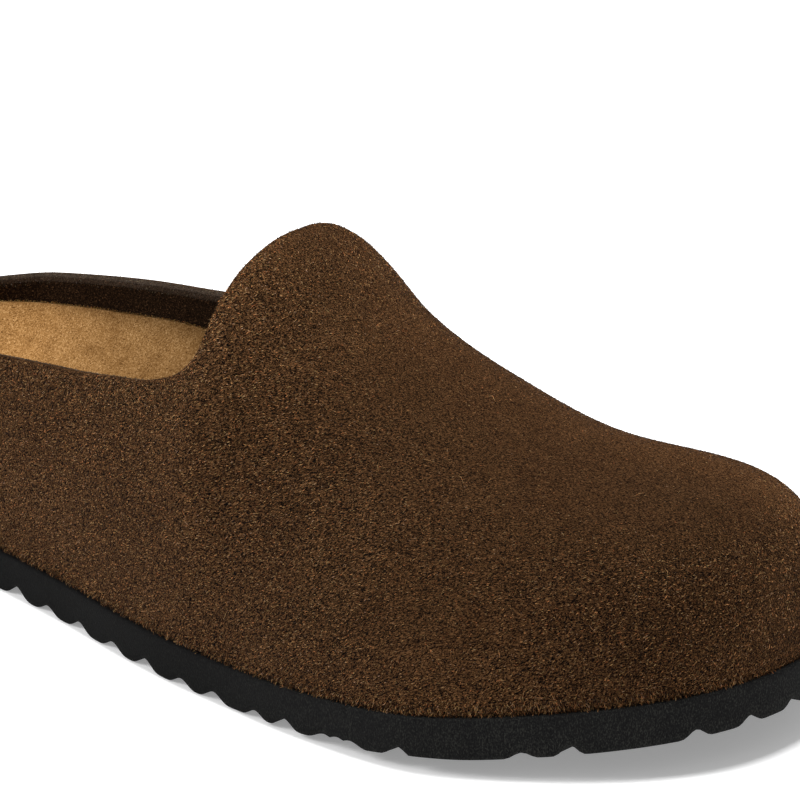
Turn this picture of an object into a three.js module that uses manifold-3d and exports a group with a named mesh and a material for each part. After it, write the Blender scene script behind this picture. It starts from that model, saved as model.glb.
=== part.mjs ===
// Right clog: a one-piece suede upper and a contoured insole on a lugged foam outsole.
// Millimetres. +X runs from heel to toe, +Y to the inner side of the foot, +Z up.
// The origin is on the floor, in the middle of the shoe's length and width.

import * as THREE from 'three';
import { mergeVertices } from 'three/addons/utils/BufferGeometryUtils.js';
import Module from 'manifold-3d';

const wasm = await Module();
wasm.setup();

// Outline of the outsole, seen from above
const LENGTH = 280; // heel to toe
const HEEL_WIDTH = 71;
const BALL_WIDTH = 104;
const TOE_SWING = 14.8; // how far the toe lies to the inner side of the heel's middle
const HEEL_ROUND = 36; // length of the round heel end
const TOE_ROUND = 63.5; // length of the round toe end
const TOE_FULLNESS = 2.2; // exponent of the toe's outline: 2 is an ellipse, more is squarer

// Outsole
const SOLE_THICK = 10;
const SOLE_EDGE = 0.8; // bevel along the top and bottom edge of the foam
const TOE_SPRING = 9; // height of the sole's tip over the floor
const SPRING_LENGTH = 116; // from where the sole leaves the floor to its tip
const SPRING_CURVE = 1.75; // exponent of the rise
const FLANGE = 0.8; // ledge of the outsole outside the upper
const GROOVE_PITCH = 12.55; // spacing of the grooves under heel and waist
const GROOVE_START = 15.4; // from the heel's tip to the first groove
const GROOVE_COUNT = 15;
const GROOVE_WIDTH = 7.8;
const GROOVE_DEPTH = 2.8;
const GROOVE_SWAY = 1.6; // the grooves run across the sole in shallow waves
const GROOVE_WAVE = 27; // length of one wave
const GROOVE_OVERRUN = 15; // how far a groove's cutter runs on past the sole on each side
const TIP_GROOVE_COUNT = 5; // short grooves that fan out into the tip of the toe
const TIP_GROOVE_ANGLE = 18.7; // degrees between two of them
const TIP_GROOVE_LENGTH = 15;
const TIP_GROOVE_CENTRE = 40; // from the tip of the toe to where they would meet

// Upper
const WALL = 2.8;
const INSTEP_HEIGHT = 96; // floor to the peak of the throat
const TOE_HEIGHT = 59.2; // floor to the top of the toe box
const HEEL_COLLAR = 44; // floor to the edge behind the heel
const SIDE_COLLAR = 66; // floor to the edge beside the throat
const THROAT = 152; // from the heel's tip to the peak of the throat
const RIDGE_LEAN = 3.2; // how far the ridge of the toe box leans to the inner side
const HEEL_TUCK = 3.5; // how far the back edge leans forwards over the heel
const NOSE_ROUND = 57; // length over which the toe box rounds down to the sole
const NOSE_FULLNESS = 2.5;

// Insole
const ARCH_HEIGHT = 38.6; // over the outsole, at the inner side of the arch
const CUP_CURVE = 2.2; // exponent of the hollow across the insole

// Clearance between pieces that touch on the real shoe
const GAP = 0.3;

// Sections from heel to toe. Each row stands at a share of the length.
// spread: 0 is half the heel's width, 1 is half the ball's width
// swing: share of TOE_SWING that the middle of the section lies inwards
// rise: ridge of the section, 0 at TOE_HEIGHT and 1 at INSTEP_HEIGHT
// lean: share of RIDGE_LEAN
// side, crown: exponents of the section's arc at its sides and at its top
const SECTIONS = [
  { at: 0.0, spread: 0.05, swing: -0.01, rise: 0.91, lean: 0.25, side: 2.6, crown: 2.2 },
  { at: 0.12, spread: -0.02, swing: 0.05, rise: 0.88, lean: 0.25, side: 2.6, crown: 2.2 },
  { at: 0.25, spread: -0.01, swing: 0.03, rise: 0.88, lean: 0.24, side: 2.61, crown: 2.21 },
  { at: 0.38, spread: 0.14, swing: -0.16, rise: 0.94, lean: 0.24, side: 2.39, crown: 2.04 },
  { at: 0.5, spread: 0.43, swing: -0.31, rise: 1.01, lean: 0.17, side: 2.17, crown: 1.84 },
  { at: 0.55, spread: 0.6, swing: -0.27, rise: 1.0, lean: 0.27, side: 2.34, crown: 1.82 },
  { at: 0.6, spread: 0.75, swing: -0.19, rise: 0.66, lean: 0.44, side: 2.18, crown: 1.75 },
  { at: 0.7, spread: 0.95, swing: -0.09, rise: 0.25, lean: 0.65, side: 2.2, crown: 1.74 },
  { at: 0.8, spread: 1.0, swing: 0.11, rise: 0.01, lean: 0.84, side: 2.26, crown: 1.95 },
  { at: 0.9, spread: 0.98, swing: 0.73, rise: -0.04, lean: 1.02, side: 2.66, crown: 2.33 },
  { at: 1.0, spread: 0.74, swing: 1.0, rise: 0.16, lean: 0.82, side: 2.71, crown: 2.28 },
];

// Edge of the upper from the heel to the peak of the throat. Each row stands at the share of
// the length where its line down the wall meets the sole.
// along: share of THROAT where the edge itself stands
// climb: 0 at HEEL_COLLAR, 1 at SIDE_COLLAR
// turn: 0 on the side of the foot, 1 on the ridge
const EDGE = [
  { at: 0.0, along: 0.0, climb: 0.0, turn: 0.0 },
  { at: 0.05, along: 0.091, climb: 0.05, turn: 0.0 },
  { at: 0.15, along: 0.273, climb: 0.32, turn: 0.0 },
  { at: 0.25, along: 0.455, climb: 0.53, turn: 0.0 },
  { at: 0.35, along: 0.636, climb: 0.7, turn: 0.0 },
  { at: 0.44, along: 0.8, climb: 0.86, turn: 0.0 },
  { at: 0.49, along: 0.909, climb: 1.0, turn: 0.0 },
  { at: 0.51, along: 0.949, climb: 1.0, turn: 0.05 },
  { at: 0.53, along: 0.977, climb: 1.0, turn: 0.14 },
  { at: 0.56, along: 0.984, climb: 1.0, turn: 0.35 },
  { at: 0.59, along: 0.99, climb: 1.0, turn: 0.54 },
  { at: 0.625, along: 0.998, climb: 1.0, turn: 0.75 },
  { at: 0.66, along: 1.0, climb: 1.0, turn: 1.0 },
];
const TURN_START = 0.44; // share of the length from which the lines fan out to the throat

// Top of the insole as shares of ARCH_HEIGHT over the outsole: its middle and its two edges
const FOOTBED = [
  { at: 0.0, middle: 0.36, inner: 0.74, outer: 0.74 },
  { at: 0.08, middle: 0.36, inner: 0.78, outer: 0.75 },
  { at: 0.2, middle: 0.38, inner: 0.9, outer: 0.77 },
  { at: 0.35, middle: 0.42, inner: 1.0, outer: 0.75 },
  { at: 0.45, middle: 0.38, inner: 0.93, outer: 0.62 },
  { at: 0.55, middle: 0.31, inner: 0.62, outer: 0.45 },
  { at: 0.65, middle: 0.24, inner: 0.36, outer: 0.3 },
  { at: 0.75, middle: 0.22, inner: 0.26, outer: 0.24 },
  { at: 1.0, middle: 0.18, inner: 0.22, outer: 0.2 },
];

// Grooves across the forefoot: share of the length, and shares of the groove's width and depth
const FOREFOOT_GROOVES = [
  { at: 0.736, wide: 1.4, deep: 0.6 },
  { at: 0.7875, wide: 1.0, deep: 1.0 },
  { at: 0.8775, wide: 0.8, deep: 0.9 },
  { at: 0.905, wide: 0.8, deep: 1.0 },
];

// Bell-shaped section of a groove: shares of its half width and of its depth. Its flanks run on
// below the sole, so that the cut leaves no skin.
const BELL = [
  { out: -1.1, up: -0.4 },
  { out: -0.75, up: 0.3 },
  { out: -0.35, up: 0.88 },
  { out: 0.35, up: 0.88 },
  { out: 0.75, up: 0.3 },
  { out: 1.1, up: -0.4 },
];

// How finely the curved faces are cut into flat ones
const HEEL_STEPS = 8;
const SIDE_STEPS = 9;
const THROAT_STEPS = 13;
const VAMP_STEPS = 8;
const TOE_STEPS = 11;
const WALL_ROWS = 10;
const INSOLE_WALL_ROWS = 3;
const INSOLE_TOP_ROWS = 10;
const GROOVE_STEPS = 10;

const LATERAL = -1; // the outer side of the foot
const MEDIAL = 1; // the inner side of the foot
const SIDES = [LATERAL, MEDIAL];

// Smooth curve through one column of a table
function follow(rows, column, at) {
  const last = rows.length - 1;
  const slope = (i) => (rows[i + 1][column] - rows[i][column]) / (rows[i + 1].at - rows[i].at);
  const tangent = (i) => {
    if (i === 0) return slope(0);
    if (i === last) return slope(last - 1);
    const before = rows[i].at - rows[i - 1].at;
    const after = rows[i + 1].at - rows[i].at;
    return (slope(i - 1) * after + slope(i) * before) / (before + after);
  };
  const share = THREE.MathUtils.clamp(at, rows[0].at, rows[last].at);
  let i = 0;
  while (i < last - 1 && share > rows[i + 1].at) i += 1;
  const span = rows[i + 1].at - rows[i].at;
  const s = (share - rows[i].at) / span;
  return (
    rows[i][column] * (1 + 2 * s) * (1 - s) ** 2 +
    rows[i + 1][column] * s * s * (3 - 2 * s) +
    span * (tangent(i) * s * (1 - s) ** 2 + tangent(i + 1) * s * s * (s - 1))
  );
}

// 1 along a body, falling to 0 at its tip over the given share of its length
function roundOff(toTip, over, fullness) {
  const reach = THREE.MathUtils.clamp(1 - toTip / over, 0, 1);
  return (1 - reach ** fullness) ** (1 / fullness);
}

// Outline of the shoe at a share of its length, drawn in by an inset all round
function outline(share, inset = 0) {
  const spread = follow(SECTIONS, 'spread', share);
  const half = THREE.MathUtils.lerp(HEEL_WIDTH, BALL_WIDTH, spread) / 2;
  const heel = roundOff(share, HEEL_ROUND / LENGTH, 2);
  const toe = roundOff(1 - share, TOE_ROUND / LENGTH, TOE_FULLNESS);
  return {
    x: inset + share * (LENGTH - 2 * inset),
    middle: TOE_SWING * follow(SECTIONS, 'swing', share),
    half: (half - inset) * heel * toe,
  };
}

// Height of the sole's underside over the floor
function spring(x) {
  return TOE_SPRING * Math.max(0, 1 - (LENGTH - x) / SPRING_LENGTH) ** SPRING_CURVE;
}

// Height on which the upper and the insole stand
function seat(x) {
  return SOLE_THICK + spring(x) + GAP;
}

// The arc of one section of the upper's outer face
function section(share) {
  const base = outline(share, FLANGE);
  const foot = seat(base.x);
  const rise = follow(SECTIONS, 'rise', share);
  const ridge = THREE.MathUtils.lerp(TOE_HEIGHT, INSTEP_HEIGHT, rise);
  const crown = roundOff(1 - share, NOSE_ROUND / LENGTH, NOSE_FULLNESS);
  return {
    ...base,
    foot,
    height: (ridge - foot) * crown,
    lean: RIDGE_LEAN * follow(SECTIONS, 'lean', share) * crown,
    sideCurve: follow(SECTIONS, 'side', share),
    crownCurve: follow(SECTIONS, 'crown', share),
    tuck: HEEL_TUCK * Math.max(0, 1 - base.x / HEEL_ROUND) ** 2,
  };
}

// A point of the outer face. The angle is 0 at the sole and a right angle on the ridge.
function lastPoint(share, angle, side) {
  const arc = section(share);
  const out = Math.cos(angle) ** (2 / arc.sideCurve);
  const up = Math.sin(angle) ** (2 / arc.crownCurve);
  const z = arc.foot + arc.height * up;
  const tucked = ((z - arc.foot) / (HEEL_COLLAR - SOLE_THICK)) ** 2;
  return new THREE.Vector3(
    arc.x + arc.tuck * tucked,
    arc.middle + side * arc.half * out + arc.lean * Math.sin(angle) ** 2,
    z,
  );
}

// The angle at which a section reaches a height
function angleAt(share, height) {
  const arc = section(share);
  const up = THREE.MathUtils.clamp((height - arc.foot) / arc.height, 0, 1);
  return Math.asin(up ** (arc.crownCurve / 2));
}

// Lines down the wall from heel to toe: the share of the length where each one meets the sole,
// the share where it ends, and the angle at which it ends on the edge or on the ridge
function wallLines() {
  const lines = [];
  const heel = HEEL_ROUND / LENGTH;
  const toe = 1 - TOE_ROUND / LENGTH;
  const throatFoot = EDGE[EDGE.length - 1].at;
  const openLine = (foot) => {
    const top = (follow(EDGE, 'along', foot) * THROAT) / LENGTH;
    const collar = THREE.MathUtils.lerp(HEEL_COLLAR, SIDE_COLLAR, follow(EDGE, 'climb', foot));
    const turn = follow(EDGE, 'turn', foot);
    const angle = THREE.MathUtils.lerp(angleAt(top, collar), Math.PI / 2, turn);
    lines.push({ foot, top, angle: () => angle, open: true });
  };
  const closedLine = (foot) => {
    const forward = (foot - throatFoot) / (1 - throatFoot);
    const top = THREE.MathUtils.lerp(THROAT / LENGTH, 1, forward);
    lines.push({ foot, top, angle: () => Math.PI / 2, open: false });
  };
  for (let i = 0; i < HEEL_STEPS; i += 1) {
    openLine(heel * (1 - Math.cos(((i / HEEL_STEPS) * Math.PI) / 2)));
  }
  for (let i = 0; i < SIDE_STEPS; i += 1) {
    openLine(THREE.MathUtils.lerp(heel, TURN_START, i / SIDE_STEPS));
  }
  for (let i = 0; i < THROAT_STEPS; i += 1) {
    openLine(THREE.MathUtils.lerp(TURN_START, throatFoot, i / THROAT_STEPS));
  }
  for (let i = 0; i < VAMP_STEPS; i += 1) {
    closedLine(THREE.MathUtils.lerp(throatFoot, toe, i / VAMP_STEPS));
  }
  for (let i = 0; i <= TOE_STEPS; i += 1) {
    const swing = Math.sin(((i / TOE_STEPS) * Math.PI) / 2) ** (2 / TOE_FULLNESS);
    closedLine(THREE.MathUtils.lerp(toe, 1, swing));
  }
  return lines;
}

// A list of points in which points at one place share one number
class PointList {
  constructor() {
    this.points = [];
    this.numbers = new Map();
  }

  add(point) {
    const key = point.toArray().map((value) => value.toFixed(4)).join();
    if (!this.numbers.has(key)) {
      this.numbers.set(key, this.points.length);
      this.points.push(point);
    }
    return this.numbers.get(key);
  }
}

// Two triangles between four corners, turned over on request, without the empty ones
function addQuad(faces, corners, turned) {
  const [a, b, c, d] = turned ? [...corners].reverse() : corners;
  for (const face of [[a, b, c], [a, c, d]]) {
    if (new Set(face).size === 3) faces.push(face);
  }
}

// The last's surface between the sole and the ends of the lines, as one sheet for each side
function wallSheet(lines, rows) {
  const list = new PointList();
  const faces = [];
  const grid = {};
  for (const side of SIDES) {
    grid[side] = lines.map((line) =>
      Array.from({ length: rows + 1 }, (_, j) => {
        const up = j / rows;
        const share = THREE.MathUtils.lerp(line.foot, line.top, up);
        return list.add(lastPoint(share, line.angle(side) * up, side));
      }),
    );
    for (let i = 0; i + 1 < lines.length; i += 1) {
      for (let j = 0; j < rows; j += 1) {
        const [here, next] = [grid[side][i], grid[side][i + 1]];
        addQuad(faces, [here[j], next[j], next[j + 1], here[j + 1]], side === MEDIAL);
      }
    }
  }
  return { points: list.points, faces, grid, rows };
}

// The sheet's points moved inwards by a depth, square to the surface. The lowest row stays on
// the sole.
function inward(sheet, depth) {
  const geometry = toGeometry(sheet.points, sheet.faces);
  geometry.computeVertexNormals();
  const normals = geometry.getAttribute('normal');
  const onSole = new Set(SIDES.flatMap((side) => sheet.grid[side].map((line) => line[0])));
  return sheet.points.map((point, i) => {
    const normal = new THREE.Vector3().fromBufferAttribute(normals, i);
    if (onSole.has(i)) normal.setZ(0).normalize();
    const moved = point.clone().addScaledVector(normal, -depth);
    if (onSole.has(i)) moved.setZ(seat(moved.x));
    return moved;
  });
}

function toGeometry(points, faces) {
  const geometry = new THREE.BufferGeometry();
  const positions = points.flatMap((point) => point.toArray());
  geometry.setAttribute('position', new THREE.Float32BufferAttribute(positions, 3));
  geometry.setIndex(faces.flat());
  return geometry;
}

// One hollow wall: the outer sheet, the inner sheet, a strip along the sole and the cut edge
function upperGeometry() {
  const lines = wallLines();
  const sheet = wallSheet(lines, WALL_ROWS);
  const points = [...sheet.points, ...inward(sheet, WALL)];
  const inside = (i) => i + sheet.points.length;
  const faces = [...sheet.faces];
  for (const [a, b, c] of sheet.faces) faces.push([inside(a), inside(c), inside(b)]);
  for (const side of SIDES) {
    const grid = sheet.grid[side];
    for (let i = 0; i + 1 < lines.length; i += 1) {
      const [foot, nextFoot] = [grid[i][0], grid[i + 1][0]];
      addQuad(faces, [foot, inside(foot), inside(nextFoot), nextFoot], side === MEDIAL);
      if (lines[i].open) {
        const [edge, nextEdge] = [grid[i][WALL_ROWS], grid[i + 1][WALL_ROWS]];
        addQuad(faces, [edge, nextEdge, inside(nextEdge), inside(edge)], side === MEDIAL);
      }
    }
  }
  return toGeometry(points, faces);
}

// The footbed: walls that follow the inside of the upper, a hollowed top and a flat underside
function insoleGeometry() {
  const columns = { [LATERAL]: 'outer', [MEDIAL]: 'inner' };
  const lines = wallLines().map(({ foot }) => {
    const over = (side) => ARCH_HEIGHT * follow(FOOTBED, columns[side], foot);
    const angle = (side) => angleAt(foot, section(foot).foot + over(side));
    return { foot, top: foot, angle };
  });
  const sheet = wallSheet(lines, INSOLE_WALL_ROWS);
  const list = new PointList();
  const numbers = inward(sheet, WALL + GAP).map((point) => list.add(point));
  const faces = [];
  for (const face of sheet.faces) {
    const welded = face.map((i) => numbers[i]);
    if (new Set(welded).size === 3) faces.push(welded);
  }
  const corner = (side, i, row) => numbers[sheet.grid[side][i][row]];
  const across = lines.map((line, i) => {
    const left = list.points[corner(LATERAL, i, INSOLE_WALL_ROWS)];
    const right = list.points[corner(MEDIAL, i, INSOLE_WALL_ROWS)];
    const hollow = 1 - Math.max(0, 1 - left.x / HEEL_ROUND) ** 2;
    const middle = seat(left.x) + ARCH_HEIGHT * follow(FOOTBED, 'middle', line.foot);
    return Array.from({ length: INSOLE_TOP_ROWS + 1 }, (_, j) => {
      const v = (2 * j) / INSOLE_TOP_ROWS - 1;
      const point = left.clone().lerp(right, j / INSOLE_TOP_ROWS);
      const edge = v < 0 ? left.z : right.z;
      if (left !== right) point.z = edge - (edge - middle) * hollow * (1 - Math.abs(v) ** CUP_CURVE);
      return list.add(point);
    });
  });
  for (let i = 0; i + 1 < lines.length; i += 1) {
    for (let j = 0; j < INSOLE_TOP_ROWS; j += 1) {
      const [here, next] = [across[i], across[i + 1]];
      addQuad(faces, [here[j], next[j], next[j + 1], here[j + 1]], false);
    }
    const under = [corner(LATERAL, i, 0), corner(MEDIAL, i, 0)];
    const nextUnder = [corner(LATERAL, i + 1, 0), corner(MEDIAL, i + 1, 0)];
    addQuad(faces, [under[0], under[1], nextUnder[1], nextUnder[0]], false);
  }
  return toGeometry(list.points, faces);
}

// The outsole before its grooves are cut: its outline in four rings, from the underside up
function soleBlank() {
  const rings = [
    { inset: SOLE_EDGE, up: 0 },
    { inset: 0, up: SOLE_EDGE },
    { inset: 0, up: SOLE_THICK - SOLE_EDGE },
    { inset: SOLE_EDGE, up: SOLE_THICK },
  ];
  const list = new PointList();
  const faces = [];
  const shares = wallLines().map((line) => line.foot);
  const grid = {};
  for (const side of SIDES) {
    grid[side] = shares.map((share) =>
      rings.map(({ inset, up }) => {
        const { x, middle, half } = outline(share, inset);
        return list.add(new THREE.Vector3(x, middle + side * half, spring(x) + up));
      }),
    );
  }
  for (let i = 0; i + 1 < shares.length; i += 1) {
    for (const side of SIDES) {
      const [here, next] = [grid[side][i], grid[side][i + 1]];
      for (let j = 0; j + 1 < rings.length; j += 1) {
        addQuad(faces, [here[j], next[j], next[j + 1], here[j + 1]], side === MEDIAL);
      }
    }
    const [left, nextLeft] = [grid[LATERAL][i], grid[LATERAL][i + 1]];
    const [right, nextRight] = [grid[MEDIAL][i], grid[MEDIAL][i + 1]];
    const top = rings.length - 1;
    addQuad(faces, [left[top], nextLeft[top], nextRight[top], right[top]], false);
    addQuad(faces, [left[0], right[0], nextRight[0], nextLeft[0]], false);
  }
  return toGeometry(list.points, faces);
}

// A groove's cutter: the bell section swept along a path. Each point of the path has a sink,
// the share of the depth by which the cutter dips below the underside.
function grooveCutter(path, width, depth) {
  const points = [];
  const faces = [];
  path.forEach((here, i) => {
    const before = path[Math.max(0, i - 1)];
    const after = path[Math.min(path.length - 1, i + 1)];
    const along = new THREE.Vector2(after.x - before.x, after.y - before.y).normalize();
    for (const { out, up } of BELL) {
      const x = here.x + (along.y * out * width) / 2;
      const y = here.y - (along.x * out * width) / 2;
      points.push(new THREE.Vector3(x, y, spring(x) + depth * (up - here.sink)));
    }
  });
  const round = BELL.length;
  for (let i = 0; i + 1 < path.length; i += 1) {
    for (let j = 0; j < round; j += 1) {
      const [a, b] = [i * round + j, i * round + ((j + 1) % round)];
      addQuad(faces, [a, b, b + round, a + round], false);
    }
  }
  const last = (path.length - 1) * round;
  for (let j = 1; j + 1 < round; j += 1) {
    faces.push([0, j + 1, j], [last, last + j, last + j + 1]);
  }
  return toGeometry(points, faces);
}

// A groove from side to side in shallow waves
function crossGroove(x, width, depth) {
  const path = Array.from({ length: GROOVE_STEPS + 1 }, (_, i) => {
    const y = (BALL_WIDTH + 2 * GROOVE_OVERRUN) * (i / GROOVE_STEPS - 0.5);
    return { x: x + GROOVE_SWAY * Math.sin((2 * Math.PI * y) / GROOVE_WAVE), y, sink: 0 };
  });
  return grooveCutter(path, width, depth);
}

// A short groove that deepens towards the tip of the toe
function tipGroove(degrees) {
  const angle = THREE.MathUtils.degToRad(degrees);
  const centreX = LENGTH - TIP_GROOVE_CENTRE;
  const start = TIP_GROOVE_CENTRE - TIP_GROOVE_LENGTH;
  const path = [
    { far: start, sink: 1.2 },
    { far: start + TIP_GROOVE_LENGTH / 2, sink: 0.2 },
    { far: start + TIP_GROOVE_LENGTH, sink: 0 },
    { far: start + 2 * TIP_GROOVE_LENGTH, sink: 0 },
  ].map(({ far, sink }) => ({
    x: centreX + far * Math.cos(angle),
    y: TOE_SWING + far * Math.sin(angle),
    sink,
  }));
  return grooveCutter(path, GROOVE_WIDTH, GROOVE_DEPTH);
}

function toSolid(geometry) {
  const welded = mergeVertices(geometry, 1e-4);
  const mesh = new wasm.Mesh({
    numProp: 3,
    vertProperties: new Float32Array(welded.getAttribute('position').array),
    triVerts: new Uint32Array(welded.getIndex().array),
  });
  return new wasm.Manifold(mesh);
}

function fromSolid(solid) {
  const mesh = solid.getMesh();
  const geometry = new THREE.BufferGeometry();
  geometry.setAttribute('position', new THREE.Float32BufferAttribute(mesh.vertProperties, 3));
  geometry.setIndex(Array.from(mesh.triVerts));
  return geometry;
}

function outsoleGeometry() {
  const cutters = [];
  for (let i = 0; i < GROOVE_COUNT; i += 1) {
    cutters.push(crossGroove(GROOVE_START + i * GROOVE_PITCH, GROOVE_WIDTH, GROOVE_DEPTH));
  }
  for (const { at, wide, deep } of FOREFOOT_GROOVES) {
    cutters.push(crossGroove(at * LENGTH, wide * GROOVE_WIDTH, deep * GROOVE_DEPTH));
  }
  for (let i = 0; i < TIP_GROOVE_COUNT; i += 1) {
    cutters.push(tipGroove((i - (TIP_GROOVE_COUNT - 1) / 2) * TIP_GROOVE_ANGLE));
  }
  let sole = toSolid(soleBlank());
  for (const cutter of cutters) sole = sole.subtract(toSolid(cutter));
  return fromSolid(sole);
}

const foam = new THREE.MeshStandardMaterial({ color: '#242322', roughness: 0.85, metalness: 0 });
const suede = new THREE.MeshStandardMaterial({ color: '#4b3120', roughness: 0.95, metalness: 0 });
const tanSuede = new THREE.MeshStandardMaterial({ color: '#b08b5c', roughness: 0.95, metalness: 0 });

function piece(name, geometry, material) {
  const mesh = new THREE.Mesh(geometry, material);
  mesh.name = name;
  return mesh;
}

const clog = new THREE.Group();
clog.add(
  piece('outsole', outsoleGeometry(), foam),
  piece('insole', insoleGeometry(), tanSuede),
  piece('upper', upperGeometry(), suede),
);

const box = new THREE.Box3().setFromObject(clog);
clog.position.set(-LENGTH / 2, -(box.min.y + box.max.y) / 2, 0);

export default clog;
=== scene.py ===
# Right clog: a brushed suede upper and a suede footbed on a moulded foam sole.
# The shapes are worked out in millimetres, with the heel's tip at x 0, and made in metres.
import math

import bpy
import numpy as np
from mathutils import Matrix, Vector


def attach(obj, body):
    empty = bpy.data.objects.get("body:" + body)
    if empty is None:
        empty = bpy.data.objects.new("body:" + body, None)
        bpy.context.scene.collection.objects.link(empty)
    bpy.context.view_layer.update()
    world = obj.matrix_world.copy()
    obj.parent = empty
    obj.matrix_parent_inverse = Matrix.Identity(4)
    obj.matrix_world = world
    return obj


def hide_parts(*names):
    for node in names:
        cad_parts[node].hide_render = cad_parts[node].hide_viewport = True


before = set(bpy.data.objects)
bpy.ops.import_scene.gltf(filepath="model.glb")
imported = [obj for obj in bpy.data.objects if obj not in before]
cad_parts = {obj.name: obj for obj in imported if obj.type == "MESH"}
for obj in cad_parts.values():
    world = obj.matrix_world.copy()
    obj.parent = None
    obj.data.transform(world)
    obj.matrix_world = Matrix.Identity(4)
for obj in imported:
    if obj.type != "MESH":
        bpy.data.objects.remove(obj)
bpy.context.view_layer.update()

MM = 0.001
SEED = 43

# Sizes of the shoe, as in its solids
LENGTH = 280
HEEL_WIDTH = 71
BALL_WIDTH = 104
TOE_SWING = 14.8
HEEL_ROUND = 36
TOE_ROUND = 63.5
TOE_FULLNESS = 2.2
SOLE_THICK = 10
SOLE_EDGE = 0.8
TOE_SPRING = 9
SPRING_LENGTH = 116
SPRING_CURVE = 1.75
FLANGE = 0.8
GROOVE_PITCH = 12.55
GROOVE_START = 15.4
GROOVE_SWAY = 1.6
GROOVE_WAVE = 27
TIP_GROOVE_COUNT = 5
TIP_GROOVE_ANGLE = 18.7
TIP_GROOVE_LENGTH = 15
TIP_GROOVE_CENTRE = 40
TIP_GROOVE_HALF = 4.2
TIP_GROOVE_DEPTH = 2.0
WALL = 2.8
INSTEP_HEIGHT = 96
TOE_HEIGHT = 59.2
HEEL_COLLAR = 44
SIDE_COLLAR = 66
THROAT = 152
RIDGE_LEAN = 3.2
HEEL_TUCK = 3.5
NOSE_ROUND = 57
NOSE_FULLNESS = 2.5
ARCH_HEIGHT = 38.6
CUP_CURVE = 2.2
GAP = 0.3
TURN_START = 0.44

# Sections of the last: share of the length, then shares of the sizes above
SECTIONS = {
    "at": (0, 0.12, 0.25, 0.38, 0.5, 0.55, 0.6, 0.7, 0.8, 0.9, 1),
    "spread": (0.05, -0.02, -0.01, 0.14, 0.43, 0.6, 0.75, 0.95, 1, 0.98, 0.74),
    "swing": (-0.01, 0.05, 0.03, -0.16, -0.31, -0.27, -0.19, -0.09, 0.11, 0.73, 1),
    "rise": (0.91, 0.88, 0.88, 0.94, 1, 0.99, 0.66, 0.257, 0.01, -0.04, 0.16),
    "lean": (0.25, 0.25, 0.24, 0.24, 0.17, 0.27, 0.44, 0.65, 0.84, 1.02, 0.82),
    "side": (2.6, 2.6, 2.61, 2.39, 2.17, 2.34, 2.18, 2.2, 2.26, 2.66, 2.71),
    "crown": (2.2, 2.2, 2.21, 2.04, 1.9, 1.9, 1.76, 1.74, 1.95, 2.33, 2.28),
}

# Edge of the upper from the heel to the peak of the throat, within a millimetre of the solid's
EDGE = {
    "at": (0, 0.05, 0.15, 0.25, 0.35, 0.44, 0.49, 0.51, 0.53, 0.56, 0.59, 0.625, 0.66),
    "along": (0, 0.091, 0.273, 0.455, 0.636, 0.8, 0.904, 0.945, 0.976, 0.985, 0.99, 0.997, 1),
    "climb": (0, 0.055, 0.31, 0.53, 0.7, 0.86, 1, 1, 1, 1, 1, 1, 1),
    "turn": (0, 0, 0, 0, 0, 0, 0, 0.05, 0.14, 0.35, 0.54, 0.75, 1),
}

# Top of the footbed as shares of ARCH_HEIGHT
FOOTBED = {
    "at": (0, 0.08, 0.2, 0.35, 0.45, 0.55, 0.65, 0.75, 1),
    "middle": (0.36, 0.36, 0.38, 0.42, 0.38, 0.31, 0.24, 0.22, 0.18),
    "inner": (0.74, 0.78, 0.9, 1, 0.93, 0.62, 0.36, 0.26, 0.22),
    "outer": (0.74, 0.75, 0.77, 0.75, 0.62, 0.45, 0.3, 0.24, 0.2),
}

# Grooves across the sole where they meet its lateral side: distance from the heel's tip, half of
# the width, and depth. The ones under the heel are even. The three shallow ones side by side make
# one wide notch, and the broad one lifts the sole before the toe.
HEEL_GROOVES = tuple((GROOVE_START + i * GROOVE_PITCH, 6.1, 2.3) for i in range(6))
CROSS_GROOVES = HEEL_GROOVES + (
    (90.8, 6.2, 2.7),
    (103.1, 6.0, 1.9),
    (116.0, 6.2, 2.2),
    (129.8, 6.4, 2.1),
    (142.4, 6.0, 2.4),
    (155.6, 5.8, 1.9),
    (166.6, 6.0, 2.1),
    (180.4, 5.0, 1.7),
    (189.8, 5.4, 2.3),
    (201.6, 6.0, 1.5),
    (205.3, 6.0, 1.6),
    (208.9, 6.0, 1.5),
    (224.0, 17.0, 0.45),
    (221.4, 4.6, 2.5),
    (246.0, 3.6, 1.4),
    (254.2, 3.1, 2.4),
)

LATERAL = -1
MEDIAL = 1
SIDES = (LATERAL, MEDIAL)


def lerp(a, b, share):
    return a + (b - a) * share


# Smooth curve through one column of a table
def follow(table, column, at):
    knots = np.array(table["at"], float)
    values = np.array(table[column], float)
    gaps = np.diff(knots)
    slopes = np.diff(values) / gaps
    tangents = np.empty_like(values)
    tangents[0] = slopes[0]
    tangents[-1] = slopes[-1]
    tangents[1:-1] = (slopes[:-1] * gaps[1:] + slopes[1:] * gaps[:-1]) / (gaps[:-1] + gaps[1:])
    at = np.clip(at, knots[0], knots[-1])
    i = np.clip(np.searchsorted(knots, at, side="right") - 1, 0, len(gaps) - 1)
    s = (at - knots[i]) / gaps[i]
    ends = values[i] * (1 + 2 * s) * (1 - s) ** 2 + values[i + 1] * s * s * (3 - 2 * s)
    return ends + gaps[i] * (tangents[i] * s * (1 - s) ** 2 + tangents[i + 1] * s * s * (s - 1))


# 1 along a body, falling to 0 at its tip
def round_off(to_tip, over, fullness):
    reach = np.clip(1 - to_tip / over, 0, 1)
    return (1 - reach**fullness) ** (1 / fullness)


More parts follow.
